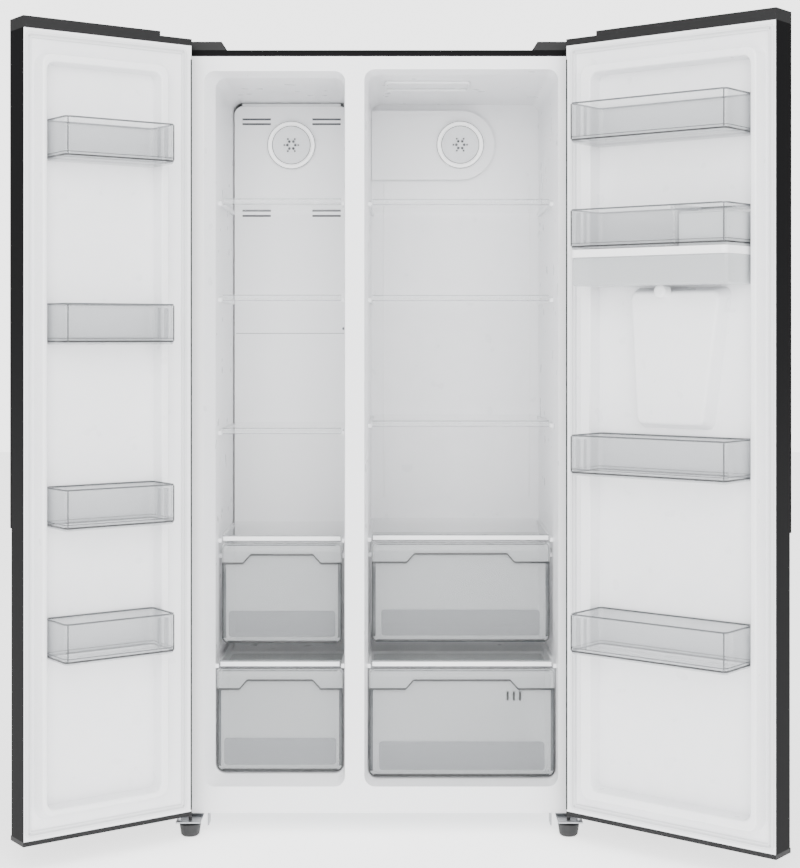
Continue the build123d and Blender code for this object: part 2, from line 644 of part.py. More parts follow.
def door_bin(side, z, name, upto=None):
    """A clear open-topped bin with rounded front corners."""
    low, high = BIN_U[side]
    high = upto or high
    basin = open_box(door_span(side, low, high), (DOOR_Y + 1.5, DOOR_Y + BIN_OUT[side]),
                     (z, z + BIN_HEIGHT), BIN_WALL, 12, 5)
    with BuildPart() as tray:
        add(basin)
        if upto:
            with BuildSketch(Plane.XY.offset(z + BIN_HEIGHT - 9)):
                for grow, mode in ((0, Mode.ADD), (BIN_WALL, Mode.SUBTRACT)):
                    x = door_span(side, upto - 15 + grow, BIN_U[side][1] - grow)
                    y = (DOOR_Y + 1.5 + grow, DOOR_Y + BIN_OUT[side] - grow)
                    with Locations((sum(x) / 2, sum(y) / 2)):
                        Rectangle(x[1] - x[0], y[1] - y[0], mode=mode)
            extrude(amount=9)
    save_on_door(tray.part, side, name)


def bins():
    for number, z in enumerate(FREEZER_BIN_Z, 1):
        door_bin(LEFT, z, f"freezer_bin_{number}")
    for number, z in enumerate(FRIDGE_BIN_Z, 1):
        door_bin(RIGHT, z, f"fridge_bin_{number}", FILLER_U[0] - 4 if z > TANK_Z[1] and number == 3 else None)


def water_tank():
    low, high = BIN_U[RIGHT]
    basin = open_box(door_span(RIGHT, low + 1, high - 1), (DOOR_Y + 3, DOOR_Y + 116), TANK_Z,
                     BIN_WALL, 8, 4)
    with BuildPart() as tank:
        add(basin)
        filler = (DOOR_Y + 9, DOOR_Y + 116)
        block(door_span(RIGHT, *FILLER_U), filler, (TANK_COVER_Z[1], FILLER_TOP))
        block(door_span(RIGHT, FILLER_U[0] + 2.2, FILLER_U[1] - 2.2), (filler[0] + 2.2, filler[1] - 2.2),
              (TANK_COVER_Z[1] - 1, FILLER_TOP + 1), mode=Mode.SUBTRACT)
        height, z = LID_PIVOT
        for u in (FILLER_U[0], FILLER_U[1] - 3):
            block(door_span(RIGHT, u, u + 3), (DOOR_Y + 3, DOOR_Y + 13), (FILLER_TOP - 12, z + 3))
        with Locations(Plane(origin=(0, DOOR_Y + height, z), z_dir=(1, 0, 0))):
            Cylinder(1.56, 4 * HALF, mode=Mode.SUBTRACT)
    save_on_door(tank.part, RIGHT, "water_tank")

    with BuildPart() as cover:
        block(door_span(RIGHT, low, high), (DOOR_Y + 1.5, DOOR_Y + BIN_OUT[RIGHT]), TANK_COVER_Z)
        fillet(cover.edges().filter_by(Axis.Z).group_by(Axis.Y)[-1], 12)
        block(door_span(RIGHT, low + 4, high - 4), (DOOR_Y + 4, DOOR_Y + BIN_OUT[RIGHT] - 4),
              (TANK_COVER_Z[0] - 1, TANK_COVER_Z[1] - BIN_WALL), mode=Mode.SUBTRACT)
        block(door_span(RIGHT, FILLER_U[0] + 4, FILLER_U[1] - 4), (DOOR_Y + 14, DOOR_Y + 108),
              (TANK_COVER_Z[0] + 5, TANK_COVER_Z[1] + 1), mode=Mode.SUBTRACT)
    save_on_door(cover.part, RIGHT, "tank_cover")

    with BuildPart() as lid:
        inner = door_span(RIGHT, FILLER_U[0] + 3.3, FILLER_U[1] - 3.3)
        block(inner, (DOOR_Y + LID_PIVOT[0], DOOR_Y + 115), (FILLER_TOP + 0.5, FILLER_TOP + 4))
        with Locations(Plane(origin=(sum(inner) / 2, DOOR_Y + LID_PIVOT[0], LID_PIVOT[1]), z_dir=(1, 0, 0))):
            Cylinder(2.4, inner[1] - inner[0])
            Cylinder(1.5, inner[1] - inner[0] + 6)
    save_on_door(lid.part, RIGHT, "tank_lid")


def dispenser():
    outer = DOOR_Y - DOOR_THICK
    wall = RECESS_WALL
    span = door_span(RIGHT, *RECESS_U)
    inside = (span[0] + wall, span[1] - wall)
    inside_z = (RECESS_Z[0] + wall, RECESS_Z[1] - wall)
    middle = sum(span) / 2
    pivot_y, pivot_z = DOOR_Y + LEVER_PIVOT[0], LEVER_PIVOT[1]
    with BuildPart() as recess:
        block((span[0] - 6, span[1] + 6), (outer - 2, outer), (RECESS_Z[0] - 6, RECESS_Z[1] + 6))
        block(span, (outer, outer + RECESS_DEPTH), RECESS_Z)
        block(inside, (outer - 3, outer + RECESS_DEPTH - wall), inside_z, mode=Mode.SUBTRACT)
        with Locations(Plane(origin=(middle, pivot_y, pivot_z), z_dir=(1, 0, 0))):
            Cylinder(AXLE_R + 0.06, 200, mode=Mode.SUBTRACT)
        with Locations((middle, outer + 14, inside_z[1] - 12)):
            Cylinder(7, 24)
            Cylinder(3, 26, mode=Mode.SUBTRACT)
        with Locations(Plane(origin=(middle, DOOR_Y + 45, 1207), z_dir=(0, 1, 0))):
            Cylinder(11, 22)
    save_on_door(recess.part, RIGHT, "dispenser_recess")

    with BuildPart() as lever:
        with Locations(Plane(origin=(middle, pivot_y, pivot_z), z_dir=(1, 0, 0))):
            Cylinder(AXLE_R, span[1] - span[0] - 1)
            Cylinder(6, 40)
        block((middle - 24, middle + 24), (pivot_y - 2, pivot_y + 1), (1020, pivot_z))
        fillet(lever.edges().filter_by(Axis.Y).group_by(Axis.Z)[0], 14)
    save_on_door(lever.part, RIGHT, "dispenser_lever")

    z = inside_z[0] + 0.5
    basin = open_box((inside[0] + 1, inside[1] - 1), (outer + 2, outer + RECESS_DEPTH - wall - 1),
                     (z, z + 14), 2, 5, 3)
    with BuildPart() as tray:
        add(basin)
        for i in range(7):
            x = inside[0] + 15 + 19 * i
            block((x, x + 4), (outer + 3, outer + RECESS_DEPTH - wall - 2), (z + 11, z + 14))
    save_on_door(tray.part, RIGHT, "drip_tray")


# ---------------------------------------------------------------- hinges, feet and rollers
def hinges():
    arm_z = NOTCH_Z + 0.4
    with BuildPart() as upper:
        for side in (LEFT, RIGHT):
            pin_x = side * (HALF - HINGE_IN)
            x = tuple(sorted((side * (HALF - 2), side * (HALF - 26))))
            block(x, (HINGE_Y - 9, Y_FRONT + 60), (arm_z, arm_z + 2.4))
            block(x, (Y_FRONT + 6, Y_FRONT + 60), (TOP_Z, arm_z))
            with Locations((pin_x, HINGE_Y, arm_z - 5.5)):
                Cylinder(PIN_R, 13)
    save(upper.part, "upper_hinges")

    with BuildPart() as covers:
        for side in (LEFT, RIGHT):
            for inset, top, mode in ((0, 1775.0, Mode.ADD), (1.5, 1773.5, Mode.SUBTRACT)):
                with BuildSketch(xz_plane(Y_FRONT + 110 - inset)):
                    with BuildLine():
                        Polyline(
                            (side * (HALF - inset), TOP_Z), (side * (HALF - inset), top),
                            (side * (355 + inset), top), (side * (343 + inset), TOP_Z), close=True,
                        )
                    make_face()
                extrude(amount=110 - 2 * inset, mode=mode)
            slot = tuple(sorted((side * (HALF - 1.5), side * (HALF - 27))))
            block(slot, (Y_FRONT - 1, Y_FRONT + 4), (NOTCH_Z, 1773.2), mode=Mode.SUBTRACT)
    save(covers.part, "hinge_covers")

    low, high = BRACKET_Z
    foot_x, foot_y = FOOT_PLACE
    with BuildPart() as lower:
        for side in (LEFT, RIGHT):
            pin_x = side * (HALF - HINGE_IN)
            x = tuple(sorted((side * 397, side * 452)))
            block(x, (HINGE_Y - 12, Y_FRONT + 50), (low, high))
            block(x, (Y_FRONT + 14, Y_FRONT + 50), (high, BASE_Z))
            block(tuple(sorted((side * 384, side * 387))), (Y_FRONT, Y_FRONT + 40), (12, BASE_Z))
            block(tuple(sorted((side * 384, side * 400))), (Y_FRONT + 14, Y_FRONT + 40), (BASE_Z - 3, BASE_Z))
            with Locations((pin_x, HINGE_Y, (high + PIN_TOP) / 2)):
                Cylinder(PIN_R, PIN_TOP - high)
            with Locations((pin_x, HINGE_Y, 48.5)):
                Cylinder(8, 4.4)
            with Locations((side * foot_x, foot_y, low)):
                Cylinder(4.05, 20, mode=Mode.SUBTRACT)
    save(lower.part, "lower_hinges")


def feet_and_rollers():
    foot_x, foot_y = FOOT_PLACE
    for side in (LEFT, RIGHT):
        with BuildPart() as foot:
            with BuildSketch(Plane(origin=(side * foot_x, foot_y, 0), x_dir=(1, 0, 0), z_dir=(0, -1, 0))):
                with BuildLine():
                    Polyline(
                        (0, 0), (17, 0), (20.5, 3.5), (24, 26), (22, 28), (9, 28), (9, 30.6), (4, 30.6),
                        (4, 40), (0, 40), close=True,
                    )
                make_face()
            revolve(axis=Axis((side * foot_x, foot_y, 0), (0, 0, 1)))
        save(foot.part, f"{NAME[side]}_foot")

    roller_x, roller_y = ROLLER_PLACE
    with BuildPart() as rollers:
        for side in (LEFT, RIGHT):
            with Locations(Plane(origin=(side * roller_x, roller_y, ROLLER_R), z_dir=(1, 0, 0))):
                Cylinder(ROLLER_R, 22)
                Cylinder(AXLE_R, 34)
    save(rollers.part, "rear_rollers")


os.makedirs("parts", exist_ok=True)
cabinet()
shelves()
air_covers()
cooling()
drawers()
door(LEFT)
door(RIGHT)
bins()
water_tank()
dispenser()
hinges()
feet_and_rollers()
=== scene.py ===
# %% [markdown]
# # A side by side refrigerator
# The metal, plastic and glass were designed in CAD and arrive here as fixed nodes, in metres,
# with the floor at zero height and the open front facing -Y. What is left is what the eye
# needs: real finishes, and the moulded pieces whose soft edges a plain solid does not have.

# %% Load the frame
import json
import math
import bpy
import bmesh
from mathutils import Matrix, Vector


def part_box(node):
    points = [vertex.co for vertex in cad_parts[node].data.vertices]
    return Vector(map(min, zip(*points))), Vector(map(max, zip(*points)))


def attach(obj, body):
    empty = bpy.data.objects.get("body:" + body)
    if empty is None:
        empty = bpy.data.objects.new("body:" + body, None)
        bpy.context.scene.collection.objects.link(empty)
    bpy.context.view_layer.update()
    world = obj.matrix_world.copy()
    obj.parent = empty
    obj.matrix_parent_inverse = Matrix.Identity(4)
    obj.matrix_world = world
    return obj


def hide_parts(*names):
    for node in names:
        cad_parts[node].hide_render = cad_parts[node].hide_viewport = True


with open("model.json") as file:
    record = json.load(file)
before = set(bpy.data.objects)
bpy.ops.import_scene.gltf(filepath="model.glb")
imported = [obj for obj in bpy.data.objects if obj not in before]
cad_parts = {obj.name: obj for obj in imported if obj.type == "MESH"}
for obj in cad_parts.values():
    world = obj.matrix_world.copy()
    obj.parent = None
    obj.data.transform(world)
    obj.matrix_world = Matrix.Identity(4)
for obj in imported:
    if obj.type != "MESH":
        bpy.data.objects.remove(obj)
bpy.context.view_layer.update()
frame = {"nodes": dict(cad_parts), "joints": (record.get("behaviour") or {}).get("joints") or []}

# %% [markdown]
# ## Camera
# The view is square on to the cabinet, from a little right of its middle, with upright lines
# kept upright. A view camera does that by sliding the film and not tilting the lens, and
# Blender's shift is the same movement.

# %% Camera
MM = 0.001
cabinet_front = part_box("front_frame")[0].y
camera_data = bpy.data.cameras.new("view_camera")
camera = bpy.data.objects.new("view_camera", camera_data)
bpy.context.scene.collection.objects.link(camera)
CAMERA_RIGHT = 48.6 * MM
CAMERA_AWAY = 3829 * MM
CAMERA_HIGH = 1117 * MM
camera.location = (CAMERA_RIGHT, cabinet_front - CAMERA_AWAY, CAMERA_HIGH)
camera.rotation_euler = (math.radians(90), 0, 0)
camera_data.sensor_width = 36
camera_data.lens = 70.6
camera_data.shift_x = -0.0014
camera_data.shift_y = -0.115
camera_data.clip_end = 50
bpy.context.scene.camera = camera
print("camera stands at y", round(camera.location.y, 3), "m")

# %% [markdown]
# ## Floor and light
# A white appliance is lit by one very large soft source in front, so that the deep
# compartments stay bright. The room is bright in front and dimmer behind, as a studio is, which
# keeps the black door edges black. What is seen of the room directly is brighter than what
# lights the object, so the backdrop stays pale.

# %% Helpers for nodes and colour
def srgb(code):
    """A hex colour as the linear numbers a shader works with."""
    channels = [int(code[i:i + 2], 16) / 255 for i in (0, 2, 4)]
    linear = [c / 12.92 if c <= 0.04045 else ((c + 0.055) / 1.055) ** 2.4 for c in channels]
    return (*linear, 1.0)


def add_node(tree, kind, settings=None, links=None):
    """Add one node, with its settings by attribute or socket name, and link its inputs."""
    node = tree.nodes.new(kind)
    for key, value in (settings or {}).items():
        if key in node.inputs:
            node.inputs[key].default_value = value
        else:
            setattr(node, key, value)
    for key, source in (links or {}).items():
        tree.links.new(source, node.inputs[key])
    return node


def only(*objects):
    """Leave just these objects selected, the last one active."""
    bpy.ops.object.select_all(action="DESELECT")
    for thing in objects:
        thing.select_set(True)
        bpy.context.view_layer.objects.active = thing


# %% World, floor and lamps
world = bpy.data.worlds.new("bright_room")
bpy.context.scene.world = world
world.use_nodes = True
room = world.node_tree
background = room.nodes["Background"]
background.inputs["Color"].default_value = srgb("FFFFFF")
direction = add_node(room, "ShaderNodeTexCoord").outputs["Generated"]
depth = add_node(room, "ShaderNodeSeparateXYZ", None, {"Vector": direction}).outputs["Y"]
fall = add_node(room, "ShaderNodeMapRange", {"From Min": -0.35, "From Max": 0.35, "To Min": 1.95,
                                             "To Max": 0.55}, {"Value": depth})
seen = add_node(room, "ShaderNodeLightPath").outputs["Is Camera Ray"]
strength = add_node(room, "ShaderNodeMix", {"data_type": "FLOAT", "B": 3.4},
                    {"Factor": seen, "A": fall.outputs["Result"]})
room.links.new(strength.outputs["Result"], background.inputs["Strength"])


def soft_light(name, place, target, size, power):
    """A square area lamp aimed at a point."""
    data = bpy.data.lights.new(name, "AREA")
    data.shape = "RECTANGLE"
    data.size, data.size_y = size
    data.energy = power
    lamp = bpy.data.objects.new(name, data)
    bpy.context.scene.collection.objects.link(lamp)
    lamp.location = place
    lamp.rotation_euler = (Vector(target) - Vector(place)).to_track_quat("-Z", "Y").to_euler()
    return lamp


soft_light("front_softbox", (0.0, -4.6, 2.6), (0, 0, 0.9), (3.6, 2.4), 190)
soft_light("top_softbox", (0.0, -1.2, 3.6), (0, -0.2, 0.8), (3.0, 2.0), 40)

bpy.ops.mesh.primitive_plane_add(size=24, location=(0, 0, 0))
floor = bpy.context.active_object
floor.name = "studio_floor"

# %% [markdown]
# ## Finishes
# Every finish starts from what the real piece is made of. Three helpers below set up a
# material: one gives the shader its own values, one adds the faint unevenness that every
# moulded or painted face has, and one puts the result on a piece.

# %% Material helpers
def new_finish(name, colour, roughness, **sockets):
    """A material whose shader carries its plain values on its own sockets."""
    finish = bpy.data.materials.new(name)
    finish.use_nodes = True
    shader = finish.node_tree.nodes["Principled BSDF"]
    shader.inputs["Base Color"].default_value = srgb(colour)
    shader.inputs["Roughness"].default_value = roughness
    for socket, value in sockets.items():
        shader.inputs[socket.replace("_", " ")].default_value = value
    return finish, finish.node_tree, shader


def uneven(tree, shader, size_mm, depth_mm, roughness=None, tint=None, detail=3.0):
    """Noise of a real size in Object coordinates, as bump, and as a spread of gloss or colour."""
    place = add_node(tree, "ShaderNodeTexCoord").outputs["Object"]
    noise = add_node(tree, "ShaderNodeTexNoise", {"Scale": 1000 / size_mm, "Detail": detail},
                     {"Vector": place})
    if depth_mm:
        bump = add_node(tree, "ShaderNodeBump", {"Distance": depth_mm * MM, "Strength": 1.0},
                        {"Height": noise.outputs["Fac"]})
        tree.links.new(bump.outputs["Normal"], shader.inputs["Normal"])
    if roughness:
        spread = add_node(tree, "ShaderNodeMapRange", {"To Min": roughness[0], "To Max": roughness[1]},
                          {"Value": noise.outputs["Fac"]})
        tree.links.new(spread.outputs["Result"], shader.inputs["Roughness"])
    if tint:
        ramp = add_node(tree, "ShaderNodeMix", {"data_type": "RGBA"}, {"Factor": noise.outputs["Fac"]})
        ramp.inputs[6].default_value = srgb(tint[0])
        ramp.inputs[7].default_value = srgb(tint[1])
        tree.links.new(ramp.outputs[2], shader.inputs["Base Color"])
    return noise


def put_on(finish, *names):
    """Give carried-over CAD nodes a finish."""
    for name in names:
        slots = frame["nodes"][name].data.materials
        slots.clear()
        slots.append(finish)


# %% [markdown]
# ### Black pre-coated steel
# Cabinet and door skins are pre-coated sheet steel: near black, satin, with a faint orange peel
# that breaks up long reflections.

# %% Black pre-coated steel
black_steel, tree, shader = new_finish("pre_coated_black_steel", "0B0B0C", 0.46, IOR=1.5,
                                       Specular_IOR_Level=0.03)
uneven(tree, shader, 1.6, 0.006, roughness=(0.4, 0.52), tint=("09090A", "0E0E0F"))
put_on(black_steel, "cabinet_shell", "left_door_skin", "right_door_skin")

# %% [markdown]
# ### Black ABS
# End caps, hinge covers and the dispenser are injection-moulded ABS with a fine spark-eroded
# grain, duller than the steel beside it.

# %% Black ABS
black_abs, tree, shader = new_finish("spark_textured_black_abs", "0F0F10", 0.55, IOR=1.53,
                                     Specular_IOR_Level=0.25)
uneven(tree, shader, 0.9, 0.02, roughness=(0.48, 0.62), tint=("0D0D0E", "121213"))
put_on(black_abs, "left_door_trims", "right_door_trims", "hinge_covers", "dispenser_recess",
       "dispenser_lever", "drip_tray")

# %% [markdown]
# ### White HIPS
# The liners are vacuum-formed high-impact polystyrene: bright, slightly glossy, never quite
# flat, because the hot sheet cools unevenly over its mould.

# %% White HIPS
white_hips, tree, shader = new_finish("vacuum_formed_white_hips", "EDEEF0", 0.3, IOR=1.57)
uneven(tree, shader, 42, 0.1, roughness=(0.24, 0.36), tint=("EBECEE", "F1F1F3"), detail=1.0)
put_on(white_hips, "freezer_liner", "fridge_liner", "left_door_liner", "right_door_liner")

# %% [markdown]
# ### White ABS
# The front frame, air covers and tank cover are thicker injection mouldings, so they are
# flatter and a little more satin than the liners.

# %% White ABS
white_abs, tree, shader = new_finish("satin_white_abs", "F0F1F2", 0.38, IOR=1.53)
uneven(tree, shader, 1.2, 0.006, roughness=(0.33, 0.44), tint=("EDEEF0", "F3F3F4"))
put_on(white_abs, "front_frame", "freezer_air_cover", "fridge_air_duct", "tank_cover", "lamp_covers")

# %% [markdown]
# ### Clear plastics and glass
# A wall of clear plastic two millimetres thick bends light so little that what matters is how
# much gets through: nearly all of it face-on, and far less where the wall is seen along its
# own length. That is why clear bins read as grey outlines round almost nothing. A shader that
# lets light straight through by its facing says this, and the room's light still reaches what
# stands behind.

# %% Helper for clear walls
def clear_wall(tree, shader, face_on, edge_on, power=0.35):
    """Let light through face-on, and turn greyer where the wall is seen edge-on."""
    facing = add_node(tree, "ShaderNodeLayerWeight", {"Blend": power}).outputs["Facing"]
    cover = add_node(tree, "ShaderNodeMapRange", {"To Min": face_on, "To Max": edge_on},
                     {"Value": facing})
    tree.links.new(cover.outputs["Result"], shader.inputs["Alpha"])


# %% [markdown]
# ### Toughened glass
# The shelves are 4 mm toughened float glass, seen almost along their plane, so their faces
# mirror the bright back wall and only the cut edges show the glass's faint green.

# %% Toughened glass
shelf_glass, tree, shader = new_finish("toughened_float_glass", "DCE3E2", 0.04, IOR=1.52)
uneven(tree, shader, 60, 0.01, roughness=(0.02, 0.06), detail=1.0)
clear_wall(tree, shader, 0.04, 0.1)
put_on(shelf_glass, "shelf_glass")

# %% [markdown]
# ### Crystal polystyrene
# Bins are moulded in crystal polystyrene with a faint smoke tint.

# %% Crystal polystyrene
bin_plastic, tree, shader = new_finish("crystal_polystyrene", "B4B7BA", 0.08, IOR=1.59)
uneven(tree, shader, 30, 0.03, roughness=(0.05, 0.12), detail=1.0)
clear_wall(tree, shader, 0.16, 0.55)
BINS_ON_A_DOOR = range(1, 5)
put_on(bin_plastic, *[f"{room}_bin_{i}" for room in ("freezer", "fridge") for i in BINS_ON_A_DOOR])

# The next three greys are painted shade: they stand for the dark lines that refraction makes along thick
# clear plastic, on beads, edges, posts and ribs.
bead_shade_paint, tree, shader = new_finish("painted_shade_bead_grey", "54575A", 0.14, IOR=1.59)
uneven(tree, shader, 5, 0.01, roughness=(0.1, 0.2))
clear_wall(tree, shader, 0.75, 0.95)

line_shade_paint, tree, shader = new_finish("painted_shade_line_grey", "26282A", 0.2, IOR=1.59)
uneven(tree, shader, 5, 0.01, roughness=(0.15, 0.26))
clear_wall(tree, shader, 0.85, 0.97)

rib_shade_paint, tree, shader = new_finish("painted_shade_rib_grey", "85888B", 0.14, IOR=1.59)
uneven(tree, shader, 5, 0.01, roughness=(0.1, 0.2))
clear_wall(tree, shader, 0.3, 0.7)

rail_plastic, tree, shader = new_finish("pale_polystyrene_rail", "D6D9DB", 0.2, IOR=1.59)
uneven(tree, shader, 6, 0.01, roughness=(0.15, 0.26))
clear_wall(tree, shader, 0.2, 0.5)
put_on(rail_plastic, "shelf_rails")

# %% [markdown]
# ### Smoked polystyrene
# The drawers are the same plastic with more tint, over a lightly stoned mould, so what stands
# inside is only hinted at. The tank is polypropylene, which stays milky because it crystallises
# as it cools.

# %% Smoked polystyrene and polypropylene
drawer_plastic, tree, shader = new_finish("smoked_polystyrene", "D4D7D9", 0.2, IOR=1.59)
uneven(tree, shader, 8, 0.02, roughness=(0.16, 0.28), detail=2.0)
clear_wall(tree, shader, 0.3, 0.55)
tub_plastic, tree, shader = new_finish("thin_smoked_polystyrene", "D8DBDD", 0.16, IOR=1.59)
uneven(tree, shader, 8, 0.02, roughness=(0.12, 0.22), detail=2.0)
clear_wall(tree, shader, 0.1, 0.18)
drawer_names = ("freezer_upper", "freezer_lower", "fridge_upper", "fridge_lower")
put_on(drawer_plastic, *[f"{name}_drawer_front" for name in drawer_names])
put_on(tub_plastic, *[f"{name}_drawer_tub" for name in drawer_names])

foot_plastic, tree, shader = new_finish("smoked_polystyrene_panel", "8F9295", 0.24, IOR=1.59)
uneven(tree, shader, 8, 0.02, roughness=(0.18, 0.3), detail=2.0)
clear_wall(tree, shader, 0.4, 0.6)

tank_plastic, tree, shader = new_finish("milky_polypropylene", "CDD0D2", 0.3, IOR=1.49)
uneven(tree, shader, 10, 0.02, roughness=(0.24, 0.36))
clear_wall(tree, shader, 0.45, 0.8)
put_on(tank_plastic, "water_tank", "tank_lid")

# %% [markdown]
# ### Gasket rubber
# Gaskets are extruded soft PVC, matt and a shade greyer than the liner.

# %% Gasket rubber
gasket_pvc, tree, shader = new_finish("extruded_soft_pvc", "DCDDDF", 0.55, IOR=1.5)
uneven(tree, shader, 0.8, 0.01, roughness=(0.48, 0.62), tint=("D6D7D9", "E1E2E3"))
put_on(gasket_pvc, "left_door_gasket", "right_door_gasket")

# %% [markdown]
# ### Foam, metals and the parts underneath
# Polyurethane foam, zinc-plated and galvanised steel, enamelled compressor, aluminium coils,
# nylon wheels and glass-filled nylon feet: each is made another way, and is given its own grain.

# %% Foam, metals and the parts underneath
foam, tree, shader = new_finish("polyurethane_foam", "D8C68E", 0.9)
uneven(tree, shader, 1.5, 0.2, tint=("CDB97C", "E2D29E"))
put_on(foam, "cabinet_foam", "left_door_foam", "right_door_foam")

zinc, tree, shader = new_finish("zinc_plated_steel", "9C9EA1", 0.34, Metallic=1.0)
uneven(tree, shader, 2.2, 0.004, roughness=(0.26, 0.44), tint=("8F9194", "A8AAAD"))
put_on(zinc, "upper_hinges", "lower_hinges")

galvanised, tree, shader = new_finish("galvanised_sheet_steel", "A3A7AA", 0.42, Metallic=0.9)
uneven(tree, shader, 14, 0.01, roughness=(0.34, 0.52), tint=("94989B", "B1B5B8"), detail=6.0)
put_on(galvanised, "base_pan", "rear_panel", "machine_cover")

nylon, tree, shader = new_finish("glass_filled_black_nylon", "141415", 0.55)
uneven(tree, shader, 0.7, 0.03, roughness=(0.46, 0.64), tint=("111112", "1B1B1D"))
put_on(nylon, "left_foot", "right_foot", "evaporator_fan", "condenser_fan", "fan_motors",
       "control_box", "power_inlet")

grey_nylon, tree, shader = new_finish("grey_nylon", "4A4B4D", 0.5)
uneven(tree, shader, 0.9, 0.02, roughness=(0.42, 0.58), tint=("434446", "525355"))
put_on(grey_nylon, "rear_rollers", "drain_pan")

enamel, tree, shader = new_finish("black_compressor_enamel", "0E0E10", 0.22, Coat_Weight=0.4)
uneven(tree, shader, 3, 0.02, roughness=(0.16, 0.3), tint=("0C0C0D", "131315"))
put_on(enamel, "compressor")

coil_aluminium, tree, shader = new_finish("drawn_aluminium_coil", "C4C7CA", 0.35, Metallic=1.0)
uneven(tree, shader, 1.5, 0.01, roughness=(0.28, 0.45), tint=("B8BBBE", "CED1D4"))
put_on(coil_aluminium, "condenser", "evaporator")

# %% Floor finish
floor_paint, tree, shader = new_finish("pale_studio_paint", "FAFAFA", 0.7, Emission_Strength=1.7)
shader.inputs["Emission Color"].default_value = srgb("FFFFFF")
uneven(tree, shader, 25, 0.02, tint=("F4F4F4", "F8F8F8"))
floor.data.materials.append(floor_paint)
print("finishes:", len(bpy.data.materials))

# %% [markdown]
# ## Making pieces by hand
# Three small helpers carry most of the modelling. One selects faces, edges or vertices by
# place, one puts a finished shape where it belongs and bakes that place into its mesh, and one
# makes the flat ring that a bead, a bezel or a seal starts from.

# %% Modelling helpers
def pick(kind, test):
    """In edit mode, select only the vertices, edges or faces that pass the test."""
    bpy.ops.mesh.select_mode(type=kind)
    bpy.ops.mesh.select_all(action="DESELECT")
    shape = bmesh.from_edit_mesh(bpy.context.edit_object.data)
    chosen = [item for item in {"VERT": shape.verts, "EDGE": shape.edges, "FACE": shape.faces}[kind]
              if test(item)]
    for item in chosen:
        item.select_set(True)
    shape.select_flush_mode()
    bmesh.update_edit_mesh(bpy.context.edit_object.data)
    return len(chosen)


def apply_modifier(piece, kind, **settings):
    """Add a modifier, set it up and make it part of the mesh."""
    modifier = piece.modifiers.new(kind.lower(), kind)
    for key, value in settings.items():
        setattr(modifier, key, value)
    bpy.ops.object.modifier_apply(modifier=modifier.name)


def settle(piece, body, finish, place=None):
    """Put a shape in its place for good: the mesh holds the place, and the object stays at zero."""
    only(piece)
    if place is not None:
        piece.matrix_world = place @ piece.matrix_world
    bpy.ops.object.transform_apply(location=True, rotation=True, scale=True)
    bpy.ops.object.mode_set(mode="EDIT")
    bpy.ops.mesh.select_all(action="SELECT")
    bpy.ops.mesh.remove_doubles(threshold=1e-6)
    bpy.ops.mesh.normals_make_consistent(inside=False)
    bpy.ops.object.mode_set(mode="OBJECT")
    bpy.ops.object.shade_smooth_by_angle(angle=math.radians(35))
    piece.data.materials.clear()
    piece.data.materials.append(finish)
    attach(piece, body)
    return piece


def flat_ring(name, size, corner, width, thick, edge=0.0006):
    """A rounded rectangular ring lying in the XY plane, rising from zero by its thickness."""
    bpy.ops.object.select_all(action="DESELECT")
    bpy.ops.mesh.primitive_plane_add(size=1)
    piece = bpy.context.active_object
    piece.name = name
    piece.scale = (size[0], size[1], 1)
    bpy.ops.object.transform_apply(scale=True)
    bpy.ops.object.mode_set(mode="EDIT")
    bpy.ops.mesh.select_all(action="SELECT")
    bpy.ops.mesh.bevel(offset=corner, offset_type="OFFSET", segments=6, affect="VERTICES")
    bpy.ops.mesh.select_all(action="SELECT")
    bpy.ops.mesh.inset(thickness=width, depth=0)
    bpy.ops.mesh.delete(type="FACE")
    bpy.ops.object.mode_set(mode="OBJECT")
    apply_modifier(piece, "SOLIDIFY", thickness=thick, offset=1)
    apply_modifier(piece, "BEVEL", width=min(edge, thick / 4, width / 4), segments=2, limit_method="ANGLE")
    return piece


def join(pieces, name):
    """Make one object of several."""
    only(*pieces)
    if len(pieces) > 1:
        bpy.ops.object.join()
    joined = bpy.context.active_object
    joined.name = name
    return joined


def start_block(name, low, high, edge=0.0008):
    """A block between two corners, with its edges rounded, as the start of a moulding."""
    bpy.ops.object.select_all(action="DESELECT")
    bpy.ops.mesh.primitive_cube_add(size=1, location=[(a + b) / 2 for a, b in zip(low, high)])
    piece = bpy.context.active_object
    piece.name = name
    piece.scale = [b - a for a, b in zip(low, high)]
    bpy.ops.object.transform_apply(location=True, scale=True)
    if edge:
        apply_modifier(piece, "BEVEL", width=edge, segments=2, limit_method="ANGLE")
    return piece


# %% [markdown]
# ## Working on an open door
# Door pieces are easiest to shape with the door shut, square to the cabinet. Each hinge
# joint says where its axis stands and how far the door has to turn to shut, so turning the
# other way by as much opens it again.

# %% Door places from the hinges
def open_place(joint_name):
    """The turn about its hinge that takes a shut door to where it stands open."""
    joint = next(j for j in frame["joints"] if j["name"] == joint_name)
    pivot = Matrix.Translation(joint["pos_m"])
    angle = -math.radians(joint["range_deg"][0])
    return pivot @ Matrix.Rotation(angle, 4, Vector(joint["axis"])) @ pivot.inverted()


def shut_box(node, place):
    """A node's lowest and highest corners, measured with its door shut."""
    corners = [place.inverted() @ v.co for v in frame["nodes"][node].data.vertices]
    return (Vector([min(c[i] for c in corners) for i in range(3)]),
            Vector([max(c[i] for c in corners) for i in range(3)]))


DOORS = {"left_door": open_place("left_door_hinge"), "right_door": open_place("right_door_hinge")}
upright = Matrix.Rotation(math.radians(90), 4, "X")
print("left door skin, shut:", [round(v, 3) for v in shut_box("left_door_skin", DOORS["left_door"])[0]])
